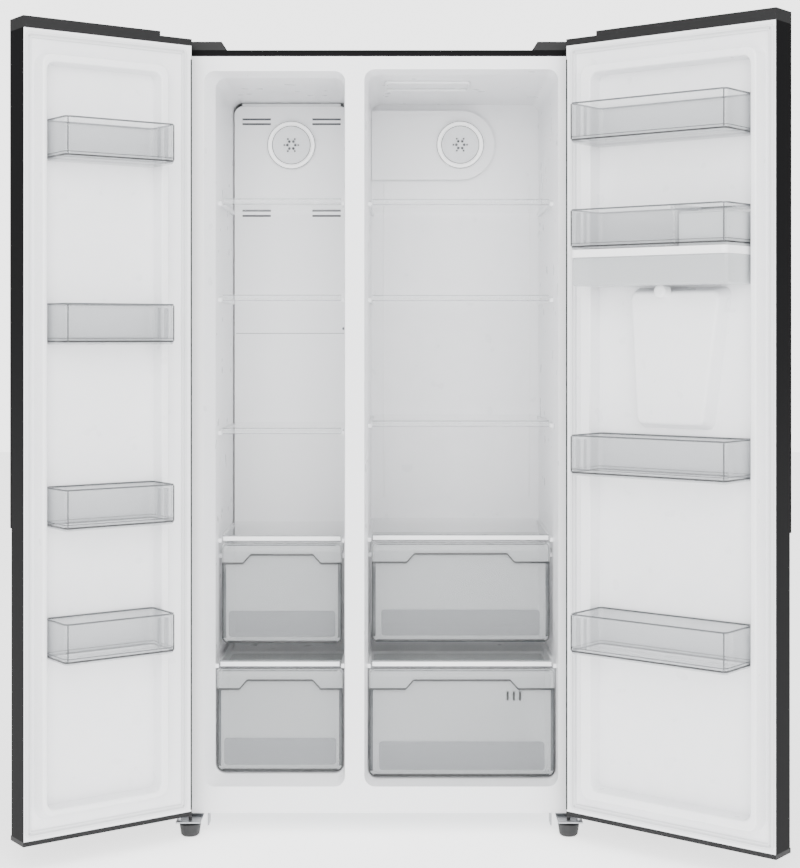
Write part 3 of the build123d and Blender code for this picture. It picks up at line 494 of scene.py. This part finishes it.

# %% [markdown]
# ## Bin beads
# A clear bin has a bead round its rim that stiffens it, and a step round its foot where the mould closes.
# Both are thicker than the wall, and the dark lines that refraction makes in them are painted in as dark
# grey pieces, which is most of what anybody sees of a clear bin. The upright posts and ribs on the bins are
# painted shade in the same way.

# %% Bin beads
BEAD = 0.0034
BEAD_PROUD = 0.0004
SLIM_BEAD = 0.0018      # on the bin round the tank, so that the raised lid passes it
BEAD_CORNER = 0.0118
RIM_BELOW_TOP = 0.0030
FOOT_HEIGHT = 0.0050
STEP_HEIGHT = 0.0128
STEP_THICK = 0.0012
POST_FOOT = 0.008
POST_HEAD = 0.003
RIBS = ((0.020, 0.010), (0.037, 0.007))     # distance from the hinge end, and width


def post(name, x, half, y_range, low, high):
    """An upright line on a bin, from above its foot to just under its rim."""
    return start_block(name, (x - half, y_range[0], low.z + POST_FOOT),
                       (x + half, y_range[1], high.z - POST_HEAD), edge=0.0004)


for door_name, family in (("left_door", "freezer"), ("right_door", "fridge")):
    for number in BINS_ON_A_DOOR:
        node = f"{family}_bin_{number}"
        low, high = shut_box(node, DOORS[door_name])
        size = (high.x - low.x + 2 * BEAD_PROUD, high.y - low.y + 2 * BEAD_PROUD)
        middle = ((low.x + high.x) / 2, (low.y + high.y) / 2)
        bead = SLIM_BEAD if node == "fridge_bin_3" else BEAD
        rings = {}
        for label, height, thick in (("rim", high.z - RIM_BELOW_TOP, BEAD),
                                     ("foot", low.z + FOOT_HEIGHT, BEAD),
                                     ("step", low.z + STEP_HEIGHT, STEP_THICK)):
            rings[label] = flat_ring(f"{node}_{label}", size, BEAD_CORNER, bead, thick)
            rings[label].location = (*middle, height)
        free_x, hinge_x = (high.x, low.x) if door_name == "left_door" else (low.x, high.x)
        inward = 1 if door_name == "left_door" else -1
        front = (high.y - 0.0030, high.y - 0.0004)
        back = (low.y + 0.002, low.y + 0.006)
        corner = post(f"{node}_corner", free_x - inward * 0.006, 0.001, front, low, high)
        back_post = post(f"{node}_back_post", free_x - inward * 0.001, 0.0014, back, low, high)
        hinge_post = post(f"{node}_hinge_post", hinge_x + inward * 0.003, 0.001, front, low, high)
        # Beads, foot lines, posts and ribs carry the painted shade greys.
        settle(join([rings["rim"], rings["step"], corner], f"{node}_beads"), node, bead_shade_paint,
               DOORS[door_name])
        settle(join([rings["foot"], back_post, hinge_post], f"{node}_foot_line"), node, line_shade_paint,
               DOORS[door_name])
        ribs = []
        for reach, wide in RIBS:
            at = hinge_x + inward * reach
            ribs.append(start_block(f"{node}_rib", (at - wide / 2, high.y - 0.0046, low.z + 0.012),
                                    (at + wide / 2, high.y - 0.0026, high.z - 0.008), edge=0.0006))
        settle(join(ribs, f"{node}_ribs"), node, rib_shade_paint, DOORS[door_name])
print("bins with beads, foot lines and ribs:", 2 * len(BINS_ON_A_DOOR))

# %% [markdown]
# ## Drawer fronts
# Each front is one moulding with a line pressed along the grip, which steps up in the middle to make room
# for fingers, a thick rolled edge all round, and a deeper panel across its foot. The grip line, the rolled
# edge, the top and base lines, the side pillars and the vent slots are painted shade in dark grey: the
# shade in the grip's crease and in the slots, and the dark lines that refraction makes along thick clear
# edges. The grip line is drawn as by hand: a short bar whose end face is pulled out again and again,
# following the step.

# %% Drawer fronts
LINE = 0.0046
PILLAR = 0.0085
GRIP_DROP = 0.046       # from the front's top down to the grip line at its sides
STEP_DROP = 0.026       # and down to its raised middle
STEP_SLOPE = 0.018
VENT_SHIFTS = (-0.014, 0, 0.014)
VENTS_RIGHT = 0.1185    # from the middle of the front
PANEL_INSET = 0.055     # of the front's width
PANEL_TOP = 0.32        # of the front's height
for name in drawer_names:
    node = f"{name}_drawer_front"
    low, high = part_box(node)
    wide, tall = high.x - low.x, high.z - low.z
    middle_x = (low.x + high.x) / 2
    reach = 0.26 * wide
    band = high.z - GRIP_DROP
    step = high.z - STEP_DROP
    face_y = low.y - 0.0004
    # The grip line and the lines below are painted shade in dark grey, not a tint of the plastic.
    grip = start_block(f"{name}_grip_line", (low.x, face_y, band - LINE / 2),
                       (low.x + 0.004, face_y + 0.003, band + LINE / 2), edge=0)
    bpy.ops.object.mode_set(mode="EDIT")
    bends = ((middle_x - reach - STEP_SLOPE, band), (middle_x - reach, step),
             (middle_x + reach, step), (middle_x + reach + STEP_SLOPE, band), (high.x, band))
    reached = (low.x + 0.004, band)
    for bend in bends:
        end_x = reached[0]
        pick("FACE", lambda f: abs(f.calc_center_median().x - end_x) < 1e-5 and f.normal.x > 0.5)
        bpy.ops.mesh.extrude_region_move(
            TRANSFORM_OT_translate={"value": (bend[0] - reached[0], 0, bend[1] - reached[1])})
        reached = bend
    bpy.ops.object.mode_set(mode="OBJECT")
    apply_modifier(grip, "BEVEL", width=0.0006, segments=2, limit_method="ANGLE")

    edge_ring = flat_ring(f"{name}_edge", (wide, tall), 0.0135, 0.0032, 0.0030)
    edge_ring.matrix_world = Matrix.Translation((middle_x, face_y + 0.0086, (low.z + high.z) / 2)) @ upright
    top_line = start_block(f"{name}_top_line", (low.x + 0.012, face_y, high.z - 0.0052),
                           (high.x - 0.012, face_y + 0.003, high.z - 0.0034), edge=0.0004)
    base_line = start_block(f"{name}_base_line", (low.x + 0.012, face_y + 0.0052, low.z),
                            (high.x - 0.012, face_y + 0.0090, low.z + 0.0050), edge=0.0006)
    parts = [edge_ring, grip, base_line]
    pillars = [start_block(f"{name}_pillar", (x0, face_y + 0.0076, low.z + 0.012),
                           (x0 + PILLAR, face_y + 0.0084, band), edge=0.0003)
               for x0 in (low.x + 0.0006, high.x - PILLAR - 0.0006)]
    settle(join([top_line, *pillars], f"{name}_drawer_pillars"), f"{name}_drawer", bead_shade_paint)
    if name == "fridge_lower":
        for shift in VENT_SHIFTS:
            slot_x = middle_x + VENTS_RIGHT + shift
            parts.append(start_block(f"vent{shift}", (slot_x - 0.0022, face_y + 0.005, high.z - 0.073),
                                     (slot_x + 0.0022, face_y + 0.008, high.z - 0.053), edge=0.0004))
    settle(join(parts, f"{name}_drawer_lines"), f"{name}_drawer", line_shade_paint)

    panel = start_block(f"{name}_drawer_foot_panel",
                        (low.x + PANEL_INSET * wide, low.y + 0.0072, low.z + 0.014),
                        (high.x - PANEL_INSET * wide, low.y + 0.0078, low.z + PANEL_TOP * tall), edge=0)
    bpy.ops.object.mode_set(mode="EDIT")
    pick("EDGE", lambda e: abs(e.verts[0].co.y - e.verts[1].co.y) > 0.0003)
    bpy.ops.mesh.bevel(offset=0.008, segments=5)
    bpy.ops.object.mode_set(mode="OBJECT")
    settle(panel, f"{name}_drawer", foot_plastic)
print("drawer fronts:", len(drawer_names))

# %% [markdown]
# ## Lamps
# Each lamp is a frosted disc in a white bezel, and the bezel is given a faint glow of its own: a painted
# glow, since the bezel is no lamp. The bezel is a turned shape, so it starts as a disc whose face is inset
# and pushed in and out, ring by ring, the way the tool steps.

# %% Lamp finishes
lamp_lens, tree, shader = new_finish("frosted_polycarbonate", "E2E4E6", 0.42, IOR=1.58)
uneven(tree, shader, 2.5, 0.03, roughness=(0.36, 0.5), tint=("DDDFE1", "E8E9EB"))
# shadow_grey is painted shade: a dark grey put on the lamp's vent holes and edge rings, the air slot
# louvres, the cover seam and the cover's screw.
shadow_grey, tree, shader = new_finish("dark_grey_painted_shade", "5B5D60", 0.5, IOR=1.53)
uneven(tree, shader, 1.0, 0.01, roughness=(0.44, 0.58), tint=("545659", "626467"))

# The emission on this white is a painted glow: a white ABS bezel gives no light.
bezel_glow_white, tree, shader = new_finish("painted_glow_white_abs", "FCFCFC", 0.16, IOR=1.53,
                                       Emission_Strength=0.35)
shader.inputs["Emission Color"].default_value = srgb("FFFFFF")
uneven(tree, shader, 1.2, 0.004, roughness=(0.12, 0.2))

# %% Lamps
DISC_RADIUS = 0.0478
BEZEL_RADIUS = 0.0595
BEZEL_STEPS = ((0.0016, -0.0015), (0.0022, 0.0), (0.0070, 0.0008), (0.0016, 0.0026))
VENT_RINGS = ((0.010, 0.0032), (0.0175, 0.0022))    # distance from the middle, and radius
VENTS_IN_A_RING = 6
lamp_points = [v.co for v in frame["nodes"]["lamp_covers"].data.vertices]
lamps = {}
for room, inside in (("freezer", lambda c: c.x < 0), ("fridge", lambda c: c.x > 0)):
    own = [c for c in lamp_points if inside(c)]
    low = Vector([min(c[i] for c in own) for i in range(3)])
    high = Vector([max(c[i] for c in own) for i in range(3)])
    lamps[room] = Vector(((low.x + high.x) / 2, low.y, (low.z + high.z) / 2))
for room, centre in lamps.items():
    bpy.ops.object.select_all(action="DESELECT")
    bpy.ops.mesh.primitive_cylinder_add(vertices=96, radius=BEZEL_RADIUS, depth=0.002,
                                        location=centre + Vector((0, -0.001, 0)),
                                        rotation=(math.radians(90), 0, 0))
    bezel = bpy.context.active_object
    bezel.name = f"{room}_lamp_bezel"
    bpy.ops.object.transform_apply(location=True, rotation=True)
    bpy.ops.object.mode_set(mode="EDIT")
    pick("FACE", lambda f: f.normal.y < -0.5)
    for inset, push in BEZEL_STEPS:
        bpy.ops.mesh.inset(thickness=inset)
        bpy.ops.transform.translate(value=(0, push, 0))
    bpy.ops.object.mode_set(mode="OBJECT")
    apply_modifier(bezel, "BEVEL", width=0.0003, segments=2, limit_method="ANGLE")
    settle(bezel, "cabinet", lamp_lens)
    bezel.data.materials.append(bezel_glow_white)
    for face in bezel.data.polygons:
        face.material_index = int((face.center - centre).length > DISC_RADIUS)

    # The rings at the bezel's and the disc's edges, and the vent holes, are painted shade in dark grey.
    lines = []
    for radius, thick in ((BEZEL_RADIUS - 0.0001, 0.0005), (DISC_RADIUS, 0.0007)):
        bpy.ops.mesh.primitive_torus_add(major_radius=radius, minor_radius=thick, major_segments=96,
                                         minor_segments=8, location=centre + Vector((0, -0.0032, 0)),
                                         rotation=(math.radians(90), 0, 0))
        lines.append(bpy.context.active_object)
    for turn in range(VENTS_IN_A_RING):
        angle = math.radians(360 / VENTS_IN_A_RING * turn)
        for reach, radius in VENT_RINGS:
            spot = centre + Vector((reach * math.cos(angle), -0.0022, reach * math.sin(angle)))
            bpy.ops.mesh.primitive_cylinder_add(vertices=20, radius=radius, depth=0.0014, location=spot,
                                                rotation=(math.radians(90), 0, 0))
            hole = bpy.context.active_object
            bpy.ops.object.mode_set(mode="EDIT")
            pick("FACE", lambda f: len(f.verts) > 8 and f.normal.z > 0.5)
            bpy.ops.mesh.inset(thickness=radius * 0.3)
            bpy.ops.transform.translate(value=(0, 0.0006, 0))
            bpy.ops.object.mode_set(mode="OBJECT")
            lines.append(hole)
    settle(join(lines, f"{room}_lamp_vents_painted_shade"), "cabinet", shadow_grey)
print("lamps at", {k: [round(v, 3) for v in c] for k, c in lamps.items()})

# %% [markdown]
# ## Air slots
# Cold air leaves the evaporator cover through pairs of slots above and below the lamp. A louvre slopes down
# in each slot, coloured in the painted shadow grey, so the slots read as short dark lines of painted shade.

# %% Air slots
cover_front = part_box("freezer_air_cover")[0].y
# How far each row stands below the lamp's middle; two rows are above it
SLOTS_BELOW_LAMP = (-0.066, -0.054, 0.164, 0.177)
SLOT_APART = 0.088      # from the lamp's middle to the middle of a slot
SLOT_HALF = Vector((0.0357, 0, 0.0023))
louvres = []
for below in SLOTS_BELOW_LAMP:
    for side in (-1, 1):
        at = Vector((lamps["freezer"].x + side * SLOT_APART, cover_front, lamps["freezer"].z - below))
        # Each louvre is painted shade: dark grey in the slot.
        louvre = start_block("louvre", at - SLOT_HALF + Vector((0, 0.0004, 0)),
                             at + SLOT_HALF + Vector((0, 0.0032, 0)), edge=0)
        bpy.ops.object.mode_set(mode="EDIT")
        pick("EDGE", lambda e: all(v.co.y < at.y + 0.001 and v.co.z < at.z for v in e.verts))
        bpy.ops.transform.translate(value=(0, 0.0018, 0.0006))
        bpy.ops.object.mode_set(mode="OBJECT")
        louvres.append(louvre)
settle(join(louvres, "air_slot_painted_shade"), "cabinet", shadow_grey)
print("louvres:", 2 * len(SLOTS_BELOW_LAMP))

# %% [markdown]
# ## Shelf rails
# Each glass shelf has a moulded rail along its front edge. Light runs along the rail and leaves at its two
# corners, so a rail shows as two fine lines, and these are painted in as grey strips. Over the drawers the
# rail's bright front is a painted highlight: a strip of opaque white laid along it. The rails arrive as one
# CAD node, so each is found again by its room and its height, and gets its own lines, bent in at both ends.

# %% Shelf rails
RAIL_LINE = 0.0016
RAIL_TALL = 0.014
SAME_HEIGHT = 0.001
OVER_DRAWERS = 0.66     # rails below this height stand over a drawer
rail_points = [v.co for v in frame["nodes"]["shelf_rails"].data.vertices]
partition_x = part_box("freezer_liner")[1].x
lines, highlight_strips = [], []
for inside in (lambda c: c.x < partition_x, lambda c: c.x > partition_x):
    own = [c for c in rail_points if inside(c)]
    left, right = min(c.x for c in own), max(c.x for c in own)
    for top in sorted({round(c.z, 3) for c in own}):
        if any(SAME_HEIGHT < c.z - top < RAIL_TALL + 2 * SAME_HEIGHT for c in own):
            continue
        front = min(c.y for c in own if -RAIL_TALL - SAME_HEIGHT < c.z - top < SAME_HEIGHT)
        for z in (top - RAIL_LINE, top - RAIL_TALL):
            # Each grey line is painted shade and light for the fine line that the rail's corner shows.
            line = start_block("rail_line", (left + 0.004, front - 0.0003, z),
                               (right - 0.004, front + 0.0010, z + RAIL_LINE), edge=0)
            bpy.ops.object.mode_set(mode="EDIT")
            pick("FACE", lambda f: abs(f.normal.x) > 0.5)
            bpy.ops.mesh.extrude_faces_move(TRANSFORM_OT_shrink_fatten={"value": 0.003})
            bpy.ops.transform.translate(value=(0, 0.0012, 0))
            bpy.ops.object.mode_set(mode="OBJECT")
            lines.append(line)
        if top < OVER_DRAWERS:
            # A white strip along the rail's front is a painted highlight.
            highlight_strips.append(start_block("rail_highlight_strip", (left + 0.002, front - 0.0001, top - 0.0120),
                                    (right - 0.002, front + 0.0020, top - 0.0018), edge=0.0006))
settle(join(lines, "shelf_rail_lines"), "cabinet", rib_shade_paint)
settle(join(highlight_strips, "shelf_rail_lips"), "cabinet", white_abs)
print("rail lines:", len(lines), "white lips:", len(highlight_strips))

# %% [markdown]
# ## Door gaskets
# A magnetic gasket is an extruded bellows: a flat foot in a groove, an outer tube that holds
# the magnet, and a thin inner lip. Seen from the front that is three fine lines round the
# door. Each is a ring of its own height on one thin base.

# %% Door gaskets
GASKET_RINGS = (("base", 0, 0.0130, 0.0024), ("magnet", 0.0005, 0.0048, 0.0056),
                ("lip", 0.0088, 0.0030, 0.0046))    # name, inset, width and height
for door_name in DOORS:
    node = f"{door_name}_gasket"
    low, high = shut_box(node, DOORS[door_name])
    middle = ((low.x + high.x) / 2, (low.z + high.z) / 2)
    rings = []
    for label, inset, width, thick in GASKET_RINGS:
        size = (high.x - low.x - 2 * inset, high.z - low.z - 2 * inset)
        ring = flat_ring(f"{node}_{label}", size, 0.0100 - inset / 2, width, thick, edge=0.0009)
        ring.matrix_world = (Matrix.Translation((middle[0], low.y, middle[1]))
                             @ Matrix.Rotation(math.radians(-90), 4, "X"))
        rings.append(ring)
    bellows = settle(join(rings, f"{door_name}_bellows"), door_name, gasket_pvc,
                     DOORS[door_name])
    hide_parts(node)
    print(node, "from", round(low.y, 4), "to", round(high.y, 4))

# %% [markdown]
# ## Painted shade along the hinge edge
# A narrow strip of the black door steel stands along each door's hinge side, beside the gasket: painted
# shade for the shadow in the gap between door and cabinet, which shows from inside as one narrow black
# line.

# %% Painted shade along the hinge edge
HINGE_SHADE_WIDTH = 0.0030
for door_name in DOORS:
    skin_low, skin_high = shut_box(f"{door_name}_skin", DOORS[door_name])
    flange_y = shut_box(f"{door_name}_gasket", DOORS[door_name])[0].y
    edge_x = skin_low.x if door_name == "left_door" else skin_high.x - HINGE_SHADE_WIDTH
    # A black strip at the hinge side is painted shade for the gap's shadow.
    hinge_shade_strip = start_block(f"{door_name}_fold", (edge_x, flange_y - 0.0005, skin_low.z + 0.004),
                       (edge_x + HINGE_SHADE_WIDTH, flange_y + 0.0010, skin_high.z - 0.03), edge=0.0003)
    settle(hinge_shade_strip, door_name, black_steel, DOORS[door_name])
    print(door_name, "inner face, shut, at", round(flange_y, 4), "skin ends at", round(skin_high.y, 4))

# %% [markdown]
# ## Spigot cover
# Behind the tank a short spigot leads water through the door. A white cap turned over it
# catches one highlight. It starts as a cylinder whose end is inset and pushed out into a dome.

# %% Spigot cover
SPIGOT_RADIUS = 0.0135
SPIGOT_OUT = 0.044      # from the door's inner face to the middle of the cap
SPIGOT_HEIGHT = 1.207
DOME_STEPS = ((0.0012, 0.0016), (0.003, 0.0012), (0.004, 0.0004))
recess_low, recess_high = shut_box("dispenser_recess", DOORS["right_door"])
spigot_x = (recess_low.x + recess_high.x) / 2
inner_face = shut_box("right_door_gasket", DOORS["right_door"])[0].y
bpy.ops.object.select_all(action="DESELECT")
bpy.ops.mesh.primitive_cylinder_add(vertices=48, radius=SPIGOT_RADIUS, depth=0.024,
                                    location=(spigot_x, inner_face + SPIGOT_OUT, SPIGOT_HEIGHT),
                                    rotation=(math.radians(90), 0, 0))
cap = bpy.context.active_object
cap.name = "spigot_cover"
bpy.ops.object.transform_apply(location=True, rotation=True)
bpy.ops.object.mode_set(mode="EDIT")
pick("FACE", lambda f: f.normal.y > 0.5)
for inset, push in DOME_STEPS:
    bpy.ops.mesh.inset(thickness=inset)
    bpy.ops.transform.translate(value=(0, push, 0))
bpy.ops.object.mode_set(mode="OBJECT")
settle(cap, "right_door", white_abs, DOORS["right_door"])
print("spigot cover at", round(spigot_x, 3))

# %% [markdown]
# ## Lines inside the cabinet
# Vacuum-formed liners carry shallow ribs that stiffen them, and the air cover has a seam
# where its two halves meet, and a soft seal along its top. The fridge's ceiling carries a
# low rounded frame.

# %% Ribs, seam and ceiling cover
LINER_WALL = 0.002
RIB_HALF = 0.0025
RIB_FOOT = 0.70
RIB_TOP = 1.50
back_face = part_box("fridge_liner")[1].y - LINER_WALL
ribs = [start_block("back_rib", (x - RIB_HALF, back_face - 0.0016, RIB_FOOT),
                    (x + RIB_HALF, back_face + 0.0004, RIB_TOP), edge=0.0006) for x in (0.0045, 0.3766)]
settle(join(ribs, "fridge_back_ribs"), "cabinet", white_abs)

cover_low, cover_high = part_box("freezer_air_cover")
SEAM_FOOT = 1.1185
SEAM_TOP = 1.1197
# The seam is a line of painted shade in dark grey.
seam = start_block("cover_seam", (cover_low.x + 0.004, cover_low.y - 0.0006, SEAM_FOOT),
                   (cover_high.x - 0.004, cover_low.y + 0.0004, SEAM_TOP), edge=0)
bpy.ops.object.mode_set(mode="EDIT")
bpy.ops.mesh.select_all(action="SELECT")
bpy.ops.mesh.bevel(offset=0.0003, segments=2)
bpy.ops.object.mode_set(mode="OBJECT")
settle(seam, "cabinet", shadow_grey)

SEAL_DEPTH = 0.004
seal = start_block("air_cover_seal", (cover_low.x + 0.02, cover_low.y + 0.0005, cover_high.z - 0.002),
                   (cover_high.x - 0.02, cover_low.y + SEAL_DEPTH, cover_high.z + 0.008), edge=0.0008)
settle(seal, "cabinet", gasket_pvc)
print("air cover top", round(cover_high.z, 4))

ceiling_ring = flat_ring("fridge_ceiling_cover", (0.20, 0.13), 0.012, 0.004, 0.005)
ceiling_ring.location = (0.11, -0.10, 1.7000)
settle(ceiling_ring, "cabinet", white_abs)
print("ribs on the back wall at", round(back_face, 3))

# %% [markdown]
# ## Screws
# One pan-head screw is modelled, with a round recess pushed into its head, and copied to every place that
# one holds something down: hinge covers, rear panel, machine cover and the air cover. Each copy has its own
# mesh.

# %% One screw
def make_screw(radius):
    """A pan-head screw standing on zero, head up, with a round recess."""
    bpy.ops.object.select_all(action="DESELECT")
    bpy.ops.mesh.primitive_cylinder_add(vertices=24, radius=radius, depth=0.0012, location=(0, 0, 0.0006))
    screw = bpy.context.active_object
    bpy.ops.object.mode_set(mode="EDIT")
    pick("FACE", lambda f: f.normal.z > 0.5)
    bpy.ops.mesh.inset(thickness=radius * 0.22)
    bpy.ops.transform.translate(value=(0, 0, 0.0006))
    bpy.ops.mesh.inset(thickness=radius * 0.3)
    bpy.ops.mesh.inset(thickness=radius * 0.08)
    bpy.ops.transform.translate(value=(0, 0, -0.0008))
    bpy.ops.object.mode_set(mode="OBJECT")
    return screw


def place_screws(name, spots, outward, finish, body="cabinet", radius=0.0038):
    """Copies of the screw at several spots, all facing outward, joined into one piece."""
    first = make_screw(radius)
    turn = Vector((0, 0, 1)).rotation_difference(Vector(outward)).to_matrix().to_4x4()
    copies = []
    for spot in spots:
        copy = first.copy()
        copy.data = first.data.copy()
        bpy.context.scene.collection.objects.link(copy)
        copy.matrix_world = Matrix.Translation(spot) @ turn
        copies.append(copy)
    bpy.data.objects.remove(first)
    return settle(join(copies, name), body, finish)


# %% All screws
rear_low, rear_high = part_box("rear_panel")
SUNK = 0.0017           # a head stands only just proud of the sheet it holds
rear_y = rear_high.y - SUNK
rear_spots = [(x, rear_y, z) for x in (rear_low.x + 0.012, rear_high.x - 0.012) for z in
              (0.32, 0.62, 0.92, 1.22, 1.52, 1.735)]
cover_spots = [(x, rear_y, z) for x in (-0.438, -0.22, 0.0, 0.22, 0.438) for z in (0.058, 0.271)]
place_screws("rear_panel_screws", rear_spots, (0, 1, 0), zinc)
place_screws("machine_cover_screws", cover_spots, (0, 1, 0), zinc)
hinge_low, hinge_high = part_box("hinge_covers")
HINGE_SCREW_X = 0.41
hinge_spots = [(side * HINGE_SCREW_X, hinge_low.y + 0.07, hinge_high.z - 0.0016) for side in (-1, 1)]
place_screws("hinge_cover_screws", hinge_spots, (0, 0, 1), nylon, radius=0.005)
# The air cover's screw takes the painted shadow grey.
place_screws("air_cover_screws", [(cover_high.x - 0.012, cover_low.y, 1.131)], (0, -1, 0), shadow_grey)
print("screws:", len(rear_spots) + len(cover_spots) + len(hinge_spots) + 1)
